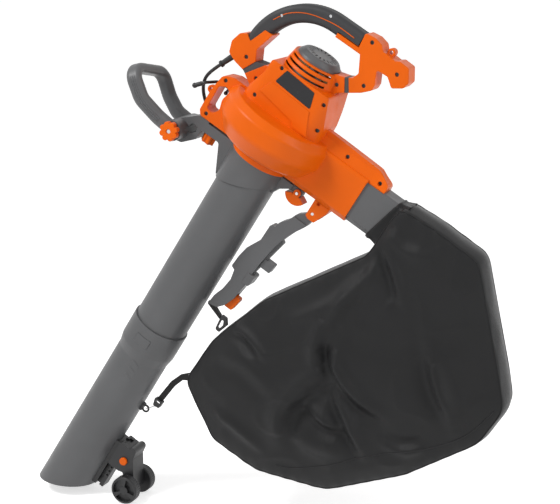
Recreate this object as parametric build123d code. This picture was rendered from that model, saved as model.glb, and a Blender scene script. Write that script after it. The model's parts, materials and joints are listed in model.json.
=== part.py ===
from build123d import *
import os
from math import cos, sin, tan, radians, pi

os.makedirs("parts", exist_ok=True)

# The tool is drawn upright in its own frame, in mm: Z runs up the axis shared by
# the suction tubes, the fan and the motor, X points along the discharge duct, and
# Y = 0 is the plane where the two halves of the casing meet. The last step leans
# the whole tool to its working angle and puts the middle of the grip at 0, 0, 0.
LEAN = 32.5                 # degrees from upright while the wheels roll on the ground
WALL = 3.0                  # moulded casing wall
GAP = 0.3                   # between faces of different bodies that pass close by
FIT = 0.05                  # radial play of a shaft or pin in its hole

# fan and motor casing
FLOOR_Z = 137.0             # underside of the round intake spigot
SPIGOT_R = 62.0
FAN_R = 120.0               # bulge of the fan scroll
FAN_TOP = 244.0             # shoulder between fan and motor
MOTOR_HALF = 58.0           # half the motor casing's width across its flat faces
MOTOR_TOP = 368.0
INTAKE_R = 54.0
LEG_HALF = 20.0             # half the thickness of handle legs and side loop
SCREW_SINK = 6.0            # depth of a screw seat below the casing's face
SCREW_LONG = 18.0           # from that face to the screw's tip
SCREW_R = 1.75
SCREW_HEAD_R = 3.9
SCREW_WELL_R = SCREW_HEAD_R + GAP
SCREW_BOSS_R = 6.5

# rotor
SHAFT_R = 4.0
BEARING_R = 11.0
BEARING_T = 7.0
LOW_BEARING_Z = FAN_TOP - 4.0
TOP_BEARING_Z = MOTOR_TOP - 8.0
ARMATURE_R = 27.0
STATOR_IN = ARMATURE_R + 1.5
STATOR_OUT = 44.0
STACK_Z = (285.0, 331.0)    # lamination stack of armature and stator

# main handle
ARCH_X = -6.0               # centre of the grip's arc
ARCH_Z = 328.0
ARCH_R = 122.0              # grip centreline
GRIP_DEEP = 36.0            # grip section in the XZ plane
GRIP_HALF = 19.0            # half its width across
GRIP_END_X = 54.0
CORE_DEEP = 22.0
CORE_HALF = 13.0

# suction tubes
TUBE_R = 57.0
TUBE_WALL = 2.5
TUBE_TOP = FLOOR_Z - 2.0
RIM_Z = -288.0              # top rim of the lower tube
SOCKET_DEEP = 55.0          # how far the upper tube enters the lower one
MOUTH_Z = -732.0            # mouth of the nozzle, on its axis
MOUTH_SLOPE = 28.0          # the mouth is cut to lie level when the tool leans
MOUTH_R = 58.5

# discharge
DUCT_HALF = 25.0
DUCT_Z = (144.0, 236.0)
DUCT_WALL = 2.5
DUCT_START = 150.0
DUCT_END = 296.0
OUTLET_END = 212.0
COLLAR_X = (268.0, 288.0)

# wheels
AXLE_X = 132.0
AXLE_Z = -642.0
AXLE_R = 4.0
WHEEL_R = 30.0
WHEEL_W = 22.0
WHEEL_IN = 24.5             # inner face of a wheel

# front handle
HUB_X = -172.0
HUB_Z = 92.0
HUB_R = 21.0
HUB_HALF = 34.0
LOOP_W = 20.0               # width of the loop's arms
LOOP_DEEP = 32.0
HUB_BOLT_R = 4.0

# mains lead
CORD_D = 7.0


# ---------------------------------------------------------------- helpers

def outline(corners):
    """Flat face through (u, v) corners; a third number rounds that corner."""
    face = make_face(Polyline(*[corner[:2] for corner in corners], close=True))
    for corner in corners:
        if len(corner) == 3:
            vertex = face.vertices().sort_by_distance((corner[0], corner[1], 0))[0]
            face = fillet(vertex, corner[2])
    return face


def slab(corners, y0, y1):
    """Outline in X, Z, extruded across the tool from y0 to y1."""
    return extrude(Plane.XZ.offset(-y1) * outline(corners), amount=y1 - y0)


def plate(corners, half):
    return slab(corners, -half, half)


def beam(corners, x0, x1):
    """Outline in Y, Z, extruded along X."""
    return extrude(Plane.YZ.offset(x0) * outline(corners), amount=x1 - x0)


def pin(x, z, radius, y0, y1):
    """Cylinder across the tool."""
    return Plane.XZ.offset(-y1) * Pos(x, z, 0) * Cylinder(
        radius, y1 - y0, align=(Align.CENTER, Align.CENTER, Align.MIN))


def post(x, y, radius, z0, z1):
    """Cylinder up the tool."""
    return Pos(x, y, z0) * Cylinder(radius, z1 - z0, align=(Align.CENTER, Align.CENTER, Align.MIN))


def tube(r_out, r_in, z0, z1):
    return post(0, 0, r_out, z0, z1) - post(0, 0, r_in, z0 - 1, z1 + 1)


def block(x0, x1, y0, y1, z0, z1):
    return Pos((x0 + x1) / 2, (y0 + y1) / 2, (z0 + z1) / 2) * Box(x1 - x0, y1 - y0, z1 - z0)


def turned(corners):
    """Outline in radius, Z, turned about the tool's axis."""
    return revolve(Plane.XZ * outline(corners), axis=Axis.Z)


def screw_hole(x, z, face):
    """Well and thread hole of a screw that is put in from the near side."""
    seat = -face + SCREW_SINK
    return pin(x, z, SCREW_WELL_R, -90, seat) + pin(x, z, SCREW_R, seat - 1, -face + SCREW_LONG)


def near_half(shape):
    return shape & block(-900, 900, -400, 0, -900, 900)


def far_half(shape):
    return shape & block(-900, 900, 0, 400, -900, 900)


def solids_of(shape):
    return [solid for solid in shape.solids() if solid.volume > 1]


# ---------------------------------------------------------------- casing

def fan_outline(inset=0.0):
    return [
        (0, FLOOR_Z + inset),
        (SPIGOT_R - inset, FLOOR_Z + inset),
        (SPIGOT_R - inset, FLOOR_Z + 15),
        (FAN_R - 23 - inset, FLOOR_Z + 23 + inset, 20),
        (FAN_R - inset, FLOOR_Z + 59, 22),
        (FAN_R - inset, FAN_TOP - 14, 9),
        (FAN_R - 12 - inset, FAN_TOP - inset, 5),
        (0, FAN_TOP - inset),
    ]


def motor_outline(inset=0.0):
    """Round part of the motor casing, which rises out of the flat-sided block."""
    return [
        (0, FAN_TOP + inset),
        (MOTOR_HALF - inset, FAN_TOP + inset),
        (MOTOR_HALF - inset, MOTOR_TOP - 28, 8),
        (MOTOR_HALF - 6 - inset, MOTOR_TOP - inset),
        (0, MOTOR_TOP - inset),
    ]


MOTOR_BLOCK = [
    (-88, FAN_TOP), (-84, FAN_TOP + 18), (-68, FAN_TOP + 60, 10), (-66, MOTOR_TOP - 32, 6),
    (68, MOTOR_TOP - 32, 6), (78, FAN_TOP + 62, 10), (88, FAN_TOP + 28, 8), (90, FAN_TOP),
]


def motor_block(inset=0.0):
    """Lower part of the motor casing, with flat sides and rounded corners."""
    side = offset(outline(MOTOR_BLOCK), amount=-inset)
    body = extrude(Plane.XZ.offset(-MOTOR_HALF) * side, amount=2 * MOTOR_HALF)
    section = RectangleRounded(184 - 2 * inset, 2 * (MOTOR_HALF - inset), 38 - inset)
    return body & extrude(Plane.XY.offset(FAN_TOP) * section, amount=MOTOR_TOP - FAN_TOP)


def motor_room():
    """What is hollow inside the motor casing: all but the ribs that hold the stator."""
    room = turned(motor_outline(WALL)) + motor_block(WALL)
    for angle in (45, 135, 225, 315):
        room -= Rot(0, 0, angle) * block(STATOR_OUT, 2 * MOTOR_HALF, -2, 2, *STACK_Z)
    return room - dial_lugs()


MOTOR_PAD = [(-56, 270), (30, 256), (36, 247), (70, 247), (54, 282), (50, 293), (-44, 298)]


def outlet_section(grow):
    """Duct section in Y, Z, grown outward by a wall."""
    half = DUCT_HALF + grow
    low = DUCT_Z[0] - grow
    high = DUCT_Z[1] + grow
    return [
        (-half + 12, low, 3), (half - 12, low, 3),
        (half, low + 12, 3), (half, high - 5, 3),
        (half - 5, high, 3), (-half + 5, high, 3),
        (-half, high - 5, 3), (-half, low + 12, 3),
    ]


DIAL_X, DIAL_Z, DIAL_R, DIAL_T = -60.0, 314.0, 15.0, 8.0
DIAL_PIN_R = 2.0
DIAL_PIN_HALF = DIAL_T / 2 + 4


def dial_lugs():
    """Two lugs inside the casing that hold the ends of the dial's pin."""
    reach = DIAL_PIN_HALF + 3
    return block(DIAL_X - 10, DIAL_X + 5, -reach, reach, DIAL_Z - 6, DIAL_Z + 6)


def spine():
    """Ridge along the top of the outlet, where the two halves are screwed together."""
    ridge = beam([(-24, 222, 3), (24, 222, 3), (21, 238, 3), (11, 258, 3), (11, 269, 4),
                  (-11, 269, 4), (-11, 258, 3), (-21, 238, 3)], 20, 250)
    side = plate([(20, 222), (211, 222), (212, 229), (250, 229, 8), (252, 248, 14),
                  (218, 265, 20), (78, 270), (20, 272)], 40)
    return ridge & side


EAR_X, EAR_Z, EAR_HALF = -159.0, 195.0, 5.0
SIDE_LOOP = [
    (-60, 142), (-147, 142, 8), (-154, 152, 6), (-154, 200, 20), (-147, 238, 14),
    (-124, 247, 12), (-60, 247),
]
SIDE_LOOP_HOLE = [
    (-143, 162, 7), (-128, 160, 8), (-118, 174, 10), (-124, 196, 20), (-117, 218, 6),
    (-130, 222, 6), (-143, 214, 8),
]
FRONT_STUB = [
    (-40, 320), (-64, 312, 6), (-84, 304), (-111, 267), (-88, 252, 6), (-86, 240), (-40, 240),
]
REAR_STUB = [(20, 352), (46, 372), (64, 377), (79, 352), (66, 342, 6), (60, 330), (20, 320)]


def casing_screw_places():
    """X, Z and depth of the seat of each casing screw, on the near side."""
    return [
        (-86, 272, LEG_HALF), (58, 356, LEG_HALF), (-138, 152, LEG_HALF),
        (-137, 232, LEG_HALF), (79, 268, 48), (150, 250, 14), (232, 245, 14),
        (-61, 256, MOTOR_HALF), (66, 319, 54), (-41, 331, MOTOR_HALF - 1),
    ]


def casing_outer():
    body = turned(fan_outline()) + turned(motor_outline()) + motor_block()
    body += plate(MOTOR_PAD, MOTOR_HALF + 1.5)
    body += beam(outlet_section(3.5), 40, OUTLET_END)
    body += spine()
    body += plate(SIDE_LOOP, LEG_HALF)
    body += plate(FRONT_STUB, LEG_HALF)
    body += plate(REAR_STUB, LEG_HALF) - post(0, 0, CAP_R + 0.5, MOTOR_TOP, MOTOR_TOP + 30)
    body += pin(EAR_X, EAR_Z, 8, -EAR_HALF, EAR_HALF)
    return body


def vent_slots():
    slots = Part()
    for level in (MOTOR_TOP - 5.5, MOTOR_TOP - 16.5, MOTOR_TOP - 27.5):
        for side in (-1, 1):
            slots += block(-50, 44, min(side * 26, side * 90), max(side * 26, side * 90),
                           level - 2.2, level + 2.2)
    return slots


LABEL = [(-29, 334, 2), (39, 329, 2), (48, 297, 3), (-39, 303, 3)]
LABEL_SINK = 0.8


def label_plate():
    return slab(LABEL, -MOTOR_HALF - 0.6, -MOTOR_HALF + LABEL_SINK)


def casing():
    outer = casing_outer()
    body = outer
    body -= turned(fan_outline(WALL))
    body -= motor_room()
    body -= beam(outlet_section(0), 60, OUTLET_END + 60)
    body -= post(0, 0, INTAKE_R, FLOOR_Z - 1, FLOOR_Z + 20)
    body -= post(0, 0, BEARING_R, LOW_BEARING_Z, FAN_TOP + 4)
    body -= post(0, 0, CAP_SPIGOT_R, MOTOR_TOP - 10, MOTOR_TOP + 1)
    body -= plate(SIDE_LOOP_HOLE, 40)
    body -= pin(EAR_X, EAR_Z, 3.6, -EAR_HALF - 1, EAR_HALF + 1)
    body -= vent_slots()
    body -= slab(LABEL, -MOTOR_HALF - 5, -MOTOR_HALF + LABEL_SINK)
    for x, z, y in casing_screw_places():
        body += pin(x, z, SCREW_BOSS_R, -y, -y + SCREW_LONG + 2) & outer
    body -= pin(DIAL_X, DIAL_Z, DIAL_R + GAP + 0.2, -DIAL_T / 2 - GAP, DIAL_T / 2 + GAP)
    body -= dial_pin()
    for x, z, y in casing_screw_places():
        body -= screw_hole(x, z, y)
    return body


# motor top cap
CAP_R = 46.0
CAP_SPIGOT_R = 41.0
CAP_HIGH = 14.0


def motor_cap():
    top = MOTOR_TOP + CAP_HIGH
    skin = turned([(0, MOTOR_TOP), (CAP_R, MOTOR_TOP), (CAP_R - 1, MOTOR_TOP + 5, 3),
                   (CAP_R - 9, top, 5), (0, top)])
    skin -= turned([(0, MOTOR_TOP - 1), (CAP_R - 3, MOTOR_TOP - 1), (CAP_R - 4, MOTOR_TOP + 4, 3),
                    (CAP_R - 11, top - 2.5, 4), (0, top - 2.5)])
    skin += tube(CAP_SPIGOT_R, CAP_SPIGOT_R - 2.5, MOTOR_TOP - 3, MOTOR_TOP + 2)
    skin += tube(CAP_R - 2, CAP_SPIGOT_R - 2.5, MOTOR_TOP, MOTOR_TOP + 2)
    for i in range(18):
        skin -= Rot(0, 0, i * 20) * block(20, 31, -1.6, 1.6, top - 8, top + 5)
    hub = post(0, 0, BEARING_R + 3, TOP_BEARING_Z, top - 1)
    hub -= post(0, 0, BEARING_R, TOP_BEARING_Z - 1, TOP_BEARING_Z + BEARING_T)
    hub -= post(0, 0, SHAFT_R + 1, TOP_BEARING_Z - 1, MOTOR_TOP + 8)
    return skin + hub


def speed_dial():
    dial = pin(DIAL_X, DIAL_Z, DIAL_R, -DIAL_T / 2, DIAL_T / 2)
    for i in range(24):
        a = radians(i * 15)
        dial -= pin(DIAL_X + DIAL_R * cos(a), DIAL_Z + DIAL_R * sin(a), 0.9, -10, 10)
    return dial - pin(DIAL_X, DIAL_Z, DIAL_PIN_R + FIT, -10, 10)


def dial_pin():
    return pin(DIAL_X, DIAL_Z, DIAL_PIN_R, -DIAL_PIN_HALF, DIAL_PIN_HALF)


# ---------------------------------------------------------------- motor inside

def bearing(z0):
    return tube(BEARING_R, SHAFT_R + FIT, z0, z0 + BEARING_T)


def stator():
    ring = tube(STATOR_OUT, STATOR_IN, *STACK_Z)
    coils = []
    for side in (-1, 1):
        y0, y1 = sorted((side * 12, side * 60))
        for z0 in (STACK_Z[1], STACK_Z[0] - 7):
            arc = tube(STATOR_OUT - 3, STATOR_IN + 1, z0, z0 + 7)
            coils.append(arc & block(-60, 60, y0, y1, z0, z0 + 7))
    return [ring] + coils


def armature():
    shaft = post(0, 0, SHAFT_R, 192, MOTOR_TOP + 2)
    core = tube(ARMATURE_R, SHAFT_R, *STACK_Z)
    for i in range(12):
        a = radians(i * 30)
        core -= post((ARMATURE_R - 1) * cos(a), (ARMATURE_R - 1) * sin(a), 1.6, 280, 340)
    low_winding = tube(ARMATURE_R - 4, SHAFT_R, STACK_Z[0] - 8, STACK_Z[0])
    high_winding = tube(ARMATURE_R - 4, SHAFT_R, STACK_Z[1], STACK_Z[1] + 7)
    commutator = tube(11, SHAFT_R, STACK_Z[1] + 9, STACK_Z[1] + 21)
    return [shaft, core, low_winding, high_winding, commutator]


def brush_holders():
    """Two carbon brushes in guides that reach in from the casing wall."""
    z0, z1 = STACK_Z[1] + 10, STACK_Z[1] + 18
    pieces = []
    for side in (-1, 1):
        x0, x1 = sorted((side * 20, side * MOTOR_HALF))
        guide = block(x0, x1, -5, 5, z0, z1) & turned(motor_outline(WALL))
        bx0, bx1 = sorted((side * 11.1, side * 34))
        brush = block(bx0, bx1, -3, 3, z0 + 2, z1 - 2)
        pieces.append(guide - brush)
        pieces.append(brush)
    return pieces


FAN_BACK_Z = 228.0          # back plate of the fan
BLADE_R = FAN_R - 24.0


def impeller():
    """Back plate, hub and eight flat blades that draw in and shred the leaves."""
    wheel = post(0, 0, BLADE_R, FAN_BACK_Z, FAN_BACK_Z + 3)
    wheel += post(0, 0, 17, 200, FAN_BACK_Z + 8)
    for i in range(8):
        blade = plate([(12, 204), (50, 176, 6), (BLADE_R - 2, 178, 8), (BLADE_R, FAN_BACK_Z + 1),
                       (12, FAN_BACK_Z + 1)], 1.5)
        wheel += Rot(0, 0, i * 45) * blade
    wheel -= post(0, 0, SHAFT_R, 190, 250)
    return wheel


def impeller_nut():
    nut = extrude(Plane.XY.offset(193) * RegularPolygon(8, 6), amount=7)
    return nut - post(0, 0, SHAFT_R, 190, 202)


# ---------------------------------------------------------------- main handle

def arch(radius_in, radius_out, half, end_x):
    """Flat arch about the grip's arc centre, run on straight to end_x."""
    ring = pin(ARCH_X, ARCH_Z, radius_out, -half, half)
    ring -= pin(ARCH_X, ARCH_Z, radius_in, -half - 1, half + 1)
    quarter = block(-400, ARCH_X, -half, half, ARCH_Z, 600)
    run = block(ARCH_X, end_x, -half, half, ARCH_Z + radius_in, ARCH_Z + radius_out)
    return (ring & quarter) + run


CRADLE = [
    (-101, 362), (-119, 362), (-134, 327), (-148, 336), (-160, 328, 6), (-167, 306, 8),
    (-160, 283, 8), (-140, 275, 5), (-119, 271), (-104, 299), (-114, 320, 4),
]
REAR_POST = [
    (7, 431), (66, 431, 3), (83, 399, 4), (78, 385, 3), (71, 381), (87, 357), (107, 371, 6),
    (122, 386, 8), (122, 398, 6), (109, 425, 4), (134, 426, 3), (152, 412, 5), (171, 425, 6),
    (175, 439, 6), (160, 463, 6), (138, 464, 5), (131, 459), (101, 461, 3), (93, 470, 8),
    (76, 474, 10), (54, 471, 4), (57, 440), (7, 440),
]
REAR_LUG_X, REAR_LUG_Z = 113.0, 465.5


def handle_screw_places():
    return [(-125, 296, LEG_HALF), (74, 463, LEG_HALF), (104, 385, LEG_HALF), (147, 440, LEG_HALF)]


def handle_shell():
    body = plate(CRADLE, LEG_HALF)
    body += plate(REAR_POST, LEG_HALF)
    body += arch(ARCH_R - CORE_DEEP / 2, ARCH_R + CORE_DEEP / 2, CORE_HALF, GRIP_END_X + 10)
    body += pin(REAR_LUG_X, REAR_LUG_Z, 8, -8, 8)
    body -= pin(REAR_LUG_X, REAR_LUG_Z, 3.8, -30, 30)
    body -= arch(ARCH_R - 6, ARCH_R + 6, 7, GRIP_END_X)
    body -= strain_relief_hole()
    for x, z, y in handle_screw_places():
        body -= screw_hole(x, z, y)
    return body


def grip():
    body = arch(ARCH_R - GRIP_DEEP / 2, ARCH_R + GRIP_DEEP / 2, GRIP_HALF, GRIP_END_X)
    long_edges = [edge for edge in body.edges()
                  if abs(abs(edge.center().Y) - GRIP_HALF) < 0.01 and edge.length > 40]
    body = fillet(long_edges, 10)
    body -= arch(ARCH_R - CORE_DEEP / 2, ARCH_R + CORE_DEEP / 2, CORE_HALF, GRIP_END_X + 5)
    body -= plate(CRADLE, 60)
    body -= plate([(-180, 300), (-167, 340), (-148, 336), (-134, 327), (-119, 362), (-90, 362),
                   (-90, 300)], 60)
    body -= plate([(7, 442), (60, 442), (60, 420), (7, 420)], 60)
    body -= plate(REAR_POST, 60)
    for x, z in GRIP_SCREWS:
        body -= pin(x, z, GRIP_SCREW_R + 0.1, -60, -GRIP_HALF + 3)
    return body


GRIP_SCREWS = [(-22, 458), (-106, 404)]
GRIP_SCREW_R = 3.1


def damper(corners):
    return plate(corners, LEG_HALF - 1)


# ---------------------------------------------------------------- intake frame

FRAME_ARM = [
    (-58, 141), (-148, 141, 12), (-180, 112), (-172, 66), (-154, 70, 8), (-131, 94, 4),
    (-130, 117, 4), (-86, 117, 6), (-59, 60), (-52, 100),
]
FRAME_WINDOW = [(-153, 118, 4), (-139, 118, 3), (-138, 106, 3), (-148, 97, 4), (-159, 104, 3)]
LATCH_X, LATCH_Z = 103.0, 127.0
LATCH_PIN_R = 3.0
LATCH_EYE_R = 9.5
LATCH_EYE_HALF = 9.0
FRAME_LUG = [
    (52, 136.5), (116, 136.5, 3), (111, 129), (103, 122),
    (84, 125), (66, 112, 8), (59, 96), (52, 96),
]


def below_cut(z0, slope, shape):
    """Keep what lies above a plane that crosses the axis at z0 and rises toward +X."""
    cutter = Pos(0, 0, z0) * Rot(0, -slope, 0) * block(-400, 400, -400, 400, -500, 0)
    return shape - cutter


def intake_frame():
    cone = turned([(0, 50), (TUBE_R + 3, 50), (TUBE_R + 4, 100), (SPIGOT_R, FLOOR_Z), (0, FLOOR_Z)])
    collar = below_cut(82, 22, cone)
    arm = plate(FRAME_ARM, 18) + pin(HUB_X, HUB_Z, HUB_R, -HUB_HALF, HUB_HALF)
    arm -= plate(FRAME_WINDOW, 60)
    lug = plate(FRAME_LUG, 14) & (plate(FRAME_LUG, LATCH_EYE_HALF) + block(0, 88, -20, 20, 90, 140))
    lug += pin(LATCH_X, LATCH_Z, LATCH_EYE_R, -LATCH_EYE_HALF, LATCH_EYE_HALF)
    body = collar + arm + lug
    body -= post(0, 0, TUBE_R, 40, TUBE_TOP)
    body -= post(0, 0, INTAKE_R, 40, FLOOR_Z + 20)
    body -= turned([(0, FLOOR_Z), (FAN_R + 5, FLOOR_Z), (FAN_R + 5, FAN_TOP), (0, FAN_TOP)])
    body -= pin(HUB_X, HUB_Z, HUB_BOLT_R + FIT, -60, 60)
    body -= pin(LATCH_X, LATCH_Z, LATCH_PIN_R, -30, 30)
    body -= post(CLAMP_X, 0, CLAMP_BOLT_R, 90, 130)
    return body


CLAMP_X = -113.0
CLAMP_Z = (97.0, 117.0 - GAP)
CLAMP_BOLT_R = 3.0


def latch_pin():
    return pin(LATCH_X, LATCH_Z, LATCH_PIN_R, -15, 15)


def sector(x, z, r_in, r_out, start, end, half):
    """Part of a ring about a cross pin, from one angle to another."""
    ring = pin(x, z, r_out, -half, half) - pin(x, z, r_in, -half - 1, half + 1)
    reach = 3 * r_out
    steps = [start + (end - start) * i / 4 for i in range(5)]
    fan = [(x, z)] + [(x + reach * cos(radians(a)), z + reach * sin(radians(a))) for a in steps]
    return ring & plate(fan, half + 1)


def latch_hook():
    """Lever that swings on its pin to lock the intake frame to the casing."""
    body = sector(LATCH_X, LATCH_Z, LATCH_EYE_R + GAP, 25, 205, 332, 13)
    cheeks = pin(LATCH_X, LATCH_Z, 8, -13, 13) + sector(LATCH_X, LATCH_Z, 5, 14, 215, 325, 13)
    cheeks -= pin(LATCH_X, LATCH_Z, 20, -LATCH_EYE_HALF - GAP, LATCH_EYE_HALF + GAP)
    body += cheeks
    return body - pin(LATCH_X, LATCH_Z, LATCH_PIN_R + FIT, -30, 30)


# ---------------------------------------------------------------- front handle

def loop_path():
    """Centreline of the front handle: near arm, grip, far arm, as X, Y, Z."""
    side = HUB_HALF + GAP + LOOP_W / 2
    grip_side = side + 12
    return [
        (HUB_X, -side, HUB_Z), (HUB_X - 42, -side, HUB_Z + 3), (HUB_X - 86, -grip_side, HUB_Z + 18),
        (HUB_X - 139, -grip_side, HUB_Z + 58), (HUB_X - 116, grip_side, HUB_Z + 49),
        (HUB_X - 76, grip_side, HUB_Z + 15), (HUB_X - 40, side, HUB_Z + 2), (HUB_X, side, HUB_Z),
    ]


def aux_loop():
    points = loop_path()
    path = FilletPolyline(*points, radius=[46, 45, 26, 26, 38, 40])
    start = Plane(origin=path @ 0, z_dir=path % 0, x_dir=(0, 1, 0))
    section = start * SlotOverall(LOOP_DEEP, LOOP_W, rotation=90)
    body = sweep(section, path=path)
    grip_start, grip_end = Vector(*points[3]), Vector(*points[4])
    run = grip_end - grip_start
    body += Plane(origin=grip_start + 0.16 * run, z_dir=run) * Cylinder(
        LOOP_W * 0.75, 0.68 * run.length, align=(Align.CENTER, Align.CENTER, Align.MIN))
    for side in (-1, 1):
        y0 = side * (HUB_HALF + GAP)
        y1 = side * (HUB_HALF + GAP + LOOP_W)
        body += pin(HUB_X, HUB_Z, HUB_R, min(y0, y1), max(y0, y1))
    body -= pin(HUB_X, HUB_Z, HUB_R + GAP, -HUB_HALF - GAP, HUB_HALF + GAP)
    return body - pin(HUB_X, HUB_Z, HUB_BOLT_R + FIT, -90, 90)


HUB_OUT = HUB_HALF + GAP + LOOP_W


def aux_bolt():
    bolt = pin(HUB_X, HUB_Z, HUB_BOLT_R, -HUB_OUT - 12, HUB_OUT + 6)
    bolt += extrude(Plane.XZ.offset(-HUB_OUT - 6) * Pos(HUB_X, HUB_Z) * RegularPolygon(8, 6), amount=5.5)
    return bolt


def aux_knob():
    """Round clamping knob with eight finger lobes."""
    y0 = -HUB_OUT - GAP
    body = pin(HUB_X, HUB_Z, 15, y0 - 14, y0)
    for i in range(8):
        a = radians(i * 45)
        body += pin(HUB_X + 14 * cos(a), HUB_Z + 14 * sin(a), 6, y0 - 14, y0 - 2)
    rim = body.edges().filter_by_position(Axis.Y, y0 - 14.1, y0 - 13.9)
    body = fillet(rim, 1.2)
    body -= pin(HUB_X, HUB_Z, HUB_BOLT_R + FIT, y0 - 13, y0 + 1)
    return body - pin(HUB_X, HUB_Z, 5, y0 - 20, y0 - 12)


def clamp_knob():
    """Small knob that fixes the front handle's frame."""
    body = post(CLAMP_X, 0, 11, *CLAMP_Z)
    for i in range(6):
        a = radians(i * 60)
        body += post(CLAMP_X + 10 * cos(a), 10 * sin(a), 4, CLAMP_Z[0], CLAMP_Z[1] - 1)
    return body - post(CLAMP_X, 0, CLAMP_BOLT_R + FIT, CLAMP_Z[0] + 6, 120)


def clamp_bolt():
    return post(CLAMP_X, 0, CLAMP_BOLT_R, CLAMP_Z[0] + 7, 130)


# ---------------------------------------------------------------- tubes

BUTTON_Z = (-330.0, -310.0)
BUTTON_HALF = 17.0


def button_window(grow):
    half = BUTTON_HALF + grow
    return block(-half, half, -90, 0, BUTTON_Z[0] - grow, BUTTON_Z[1] + grow)


def upper_tube():
    low = RIM_Z - SOCKET_DEEP
    return tube(TUBE_R, TUBE_R - TUBE_WALL, low, TUBE_TOP) - button_window(GAP)


NECK_R = TUBE_R - 0.5


def lower_skin():
    """Outside of the lower tube before its mouth is cut."""
    low = RIM_Z - SOCKET_DEEP
    socket = TUBE_R + TUBE_WALL + 1
    return turned([(0, RIM_Z), (socket, RIM_Z), (socket, low - 4, 12), (NECK_R, low - 26, 20),
                   (MOUTH_R, -800), (0, -800)])


def lower_tube():
    low = RIM_Z - SOCKET_DEEP
    neck = NECK_R - TUBE_WALL
    bore = turned([(0, RIM_Z + 1), (TUBE_R, RIM_Z + 1), (TUBE_R, low), (neck, low - 12),
                   (neck, low - 30), (MOUTH_R - TUBE_WALL, -801), (0, -801)])
    body = below_cut(MOUTH_Z, MOUTH_SLOPE, lower_skin() - bore)
    body -= button_window(GAP)
    for i in range(3):
        mark = Pos(12, 0, low - 32 - i * 17) * Rot(0, 28, 0) * block(-9, 9, -90, 0, -2.5, 2.5)
        body += mark & tube(NECK_R + 0.9, NECK_R - 1, low - 90, low - 20)
    return body


def tube_button():
    """Sprung button that snaps through both tubes."""
    skin = tube(TUBE_R + TUBE_WALL + 1.6, TUBE_R - TUBE_WALL, *BUTTON_Z)
    return skin & button_window(0)


EYE_Z = -476.0


def strap_eye():
    ring = Pos(MOUTH_R + 9, 0, EYE_Z) * Rot(90, 0, 0) * Torus(7, 2.2)
    foot = block(TUBE_R - 5, MOUTH_R + 4, -6, 6, EYE_Z - 8, EYE_Z + 8)
    return ring + (foot - lower_skin())


# ---------------------------------------------------------------- wheel unit

RAIL_Z = (-690.0, -570.0)
RAIL_FACE = 80.0
RAIL_HEAD_X = 71.0
RAIL_HEAD_HALF = 14.0
RAIL_STEM_HALF = 7.0
BUTTON_X, BUTTON_AT_Z, BUTTON_R = 93.0, -598.0, 8.5


def wheel_rail():
    base = block(45, 64, -20, 20, *RAIL_Z)
    stem = block(60, RAIL_HEAD_X + 1, -RAIL_STEM_HALF, RAIL_STEM_HALF, *RAIL_Z)
    head = block(RAIL_HEAD_X, RAIL_FACE, -RAIL_HEAD_HALF, RAIL_HEAD_HALF, *RAIL_Z)
    body = base + stem + head
    body -= lower_skin()
    for i in range(3):
        body -= pin(75.5, -636 - 11 * i, 2.4, -20, -11)
    return body


CARRIAGE = [
    (64 + GAP, -566, 3), (88, -566), (96, -556, 8), (106, -562, 8), (108, -580), (143, -636, 8),
    (142, -652, 8), (126, -654, 6), (104, -622, 4), (92, -626), (64 + GAP, -626, 3),
]


def wheel_carriage():
    """Slide that carries the wheels up and down the rail."""
    body = plate(CARRIAGE, 24)
    head, stem = RAIL_HEAD_HALF + GAP, RAIL_STEM_HALF + GAP
    body -= block(RAIL_HEAD_X - GAP, RAIL_FACE + GAP, -head, head, -700, -500)
    body -= block(60, RAIL_HEAD_X + 1, -stem, stem, -700, -500)
    body -= pin(AXLE_X, AXLE_Z, AXLE_R, -60, 60)
    body -= pin(BUTTON_X, BUTTON_AT_Z, BUTTON_R + GAP, -40, -18)
    return body


def height_button():
    button = pin(BUTTON_X, BUTTON_AT_Z, BUTTON_R, -29, -23)
    return fillet(button.edges().filter_by_position(Axis.Y, -29.1, -28.9), 1.5)


def wheel_axle():
    return pin(AXLE_X, AXLE_Z, AXLE_R, -WHEEL_IN - WHEEL_W + 2, WHEEL_IN + WHEEL_W - 2)


def wheel(side):
    y0, y1 = sorted((side * WHEEL_IN, side * (WHEEL_IN + WHEEL_W)))
    body = pin(AXLE_X, AXLE_Z, WHEEL_R, y0, y1)
    rims = [e for e in body.edges() if e.length > 100]
    body = fillet(rims, 3)
    outer = side * (WHEEL_IN + WHEEL_W)
    f0, f1 = sorted((outer, outer - side * 7))
    for i in range(3):
        start = i * 120 + 12
        body -= Pos(0, (f0 + f1) / 2, 0) * sector(AXLE_X, AXLE_Z, 9, WHEEL_R - 5, start, start + 96, 3.5)
    for i in range(36):
        a = radians(i * 10)
        body -= pin(AXLE_X + (WHEEL_R + 0.6) * cos(a), AXLE_Z + (WHEEL_R + 0.6) * sin(a), 1.5,
                    y0 + 4, y1 - 4)
    hole0, hole1 = sorted((side * (WHEEL_IN - 1), side * (WHEEL_IN + WHEEL_W - 1.9)))
    return body - pin(AXLE_X, AXLE_Z, AXLE_R + FIT, hole0, hole1)


# ---------------------------------------------------------------- brace

BRACE_X, BRACE_Z = 152.0, 113.0
BRACE_PIN_R = 3.0
BRACE_HALF = 10.0
CATCH_HALF = 7.0
BRACKET = [(141, 140.5), (141, 103, 3), (148, 99, 3), (163, 99, 4), (176, 130, 6), (177, 140.5)]
BRACE_ARM = [
    (146, 104), (158, 100), (152, 78, 20), (139, 55), (128, 28, 60), (121, 0), (115, -40, 60),
    (112, -70), (112, -100), (107, -138, 20), (98, -162, 20), (86, -177, 8), (66, -181, 3),
    (68, -158, 20), (76, -135), (80, -108, 8), (76, -86), (67, -82, 3), (69, -55, 60), (74, -30),
    (90, 2, 10), (91, 40, 4), (101, 42, 3), (104, 56, 8), (117, 72, 8), (124, 90, 6), (138, 102),
]


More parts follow.
